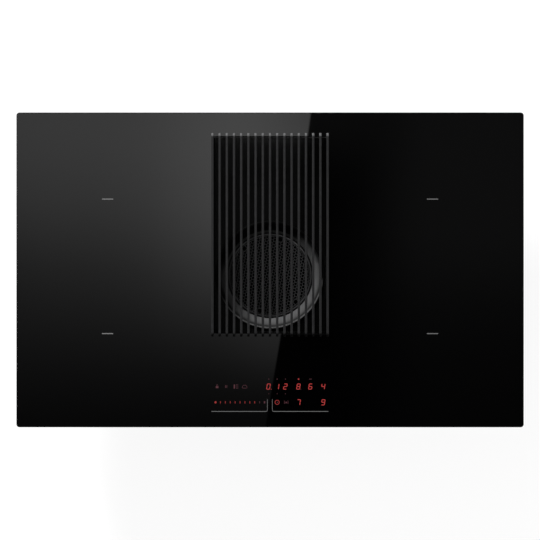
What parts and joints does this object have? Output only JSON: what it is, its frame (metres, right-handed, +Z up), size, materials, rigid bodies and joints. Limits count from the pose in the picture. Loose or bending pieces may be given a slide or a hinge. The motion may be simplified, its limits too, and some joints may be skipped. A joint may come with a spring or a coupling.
{
  "type": "downdraft induction cooktop",
  "caption": "Black glass induction hob with a cast slotted grille over a central downdraft intake, a round grease filter, touch control and a fan with rectangular duct below.",
  "frame": {"origin": "under the middle of the glass, level with the underside of the fan casing", "axes": "+X to the right as the cook sees it, +Y to the rear, +Z up"},
  "size_m": [0.83, 0.515, 0.218],
  "materials": {
    "black_glass": "polished opaque black glass ceramic",
    "cast_black": "matt black enamel",
    "rubber_black": "matt",
    "well_plastic": "fine grained black",
    "funnel_plastic": "satin black",
    "filter_black": "matt black",
    "filter_steel": "dark expanded mesh",
    "galvanised_steel": "galvanised sheet with faint spangle",
    "zinc_screw": "zinc plated",
    "casing_plastic": "moulded, fine grain",
    "grey_plastic": "moulded, fine grain",
    "gland_plastic": "moulded, satin",
    "white_plastic": "natural nylon",
    "coil_winding": "lacquered litz wire",
    "ferrite": "sintered, matt",
    "mica": "pressed mica",
    "aluminium_sheet": "mill finish",
    "spring_steel": "bright",
    "circuit_board": "solder mask",
    "component_black": "sleeved",
    "display_red": "light modules",
    "fan_plastic": "moulded",
    "rotor_steel": "deep drawn steel",
    "impeller_plastic": "glass filled nylon"
  },
  "bodies": {
    "chassis": {"air_outlet_spigot": "casing_plastic", "base_pan": "galvanised_steel", "board_components": "component_black", "board_standoffs": "white_plastic", "bracket_screws": "zinc_screw", "cable_gland": "gland_plastic", "carrier_springs": "spring_steel", "casing_seal": "rubber_black", "coil_carrier_left": "aluminium_sheet", "coil_carrier_right": "aluminium_sheet", "coil_formers": "white_plastic", "coil_front_left": "coil_winding", "coil_front_right": "coil_winding", "coil_rear_left": "coil_winding", "coil_rear_right": "coil_winding", "cooling_fan_frame_left": "fan_plastic", "cooling_fan_frame_right": "fan_plastic", "display_modules": "display_red", "fan_casing_lower": "casing_plastic", "fan_casing_upper": "casing_plastic", "fan_screws": "zinc_screw", "ferrite_bars": "ferrite", "glass_top": "black_glass", "heat_sink_left": "aluminium_sheet", "heat_sink_right": "aluminium_sheet", "intake_funnel": "funnel_plastic", "intake_seal": "rubber_black", "intake_tray": "well_plastic", "mains_filter_board": "circuit_board", "mica_sheets": "mica", "motor_bearings": "spring_steel", "motor_dampers": "rubber_black", "motor_driver_board": "circuit_board", "motor_mount_plate": "galvanised_steel", "motor_stator": "ferrite", "power_board_left": "circuit_board", "power_board_right": "circuit_board", "stator_windings": "coil_winding", "temperature_sensors": "white_plastic", "terminal_block": "white_plastic", "inlet_ring": "casing_plastic", "terminal_box": "grey_plastic", "terminal_cover": "grey_plastic", "throat_collar": "casing_plastic", "throat_seal": "rubber_black", "touch_board": "circuit_board", "touch_carrier": "white_plastic", "worktop_brackets": "galvanised_steel", "worktop_seal": "rubber_black"},
    "grille": {"suction_grille": "cast_black", "grille_feet": "rubber_black"},
    "filter": {"filter_frame": "filter_black", "filter_mesh": "filter_steel"},
    "impeller_rotor": {"impeller": "impeller_plastic", "impeller_cage": "impeller_plastic", "motor_rotor": "rotor_steel", "rotor_magnets": "ferrite", "motor_shaft": "spring_steel"},
    "left_fan": {"cooling_fan_rotor_left": "fan_plastic"},
    "right_fan": {"cooling_fan_rotor_right": "fan_plastic"}
  },
  "joints": [
    {"name": "grille_lift", "type": "slide", "parent": "chassis", "child": "grille", "axis": [0, 0, 1], "range_m": [0, 0.18]},
    {"name": "filter_lift", "type": "slide", "parent": "chassis", "child": "filter", "axis": [0, 0, 1], "range_m": [0, 0.108]},
    {"name": "impeller_spin", "type": "hinge", "parent": "chassis", "child": "impeller_rotor", "pos_m": [0, -0.009, 0.05], "axis": [0, 0, 1], "continuous": true},
    {"name": "left_fan_spin", "type": "hinge", "parent": "chassis", "child": "left_fan", "pos_m": [-0.212, -0.17, 0.16], "axis": [0, 0, 1], "continuous": true},
    {"name": "right_fan_spin", "type": "hinge", "parent": "chassis", "child": "right_fan", "pos_m": [0.212, -0.17, 0.16], "axis": [0, 0, 1], "continuous": true}
  ],
  "couplings": [
    {"joint": "filter_lift", "follows": "grille_lift", "ratio": 0.6}
  ]
}
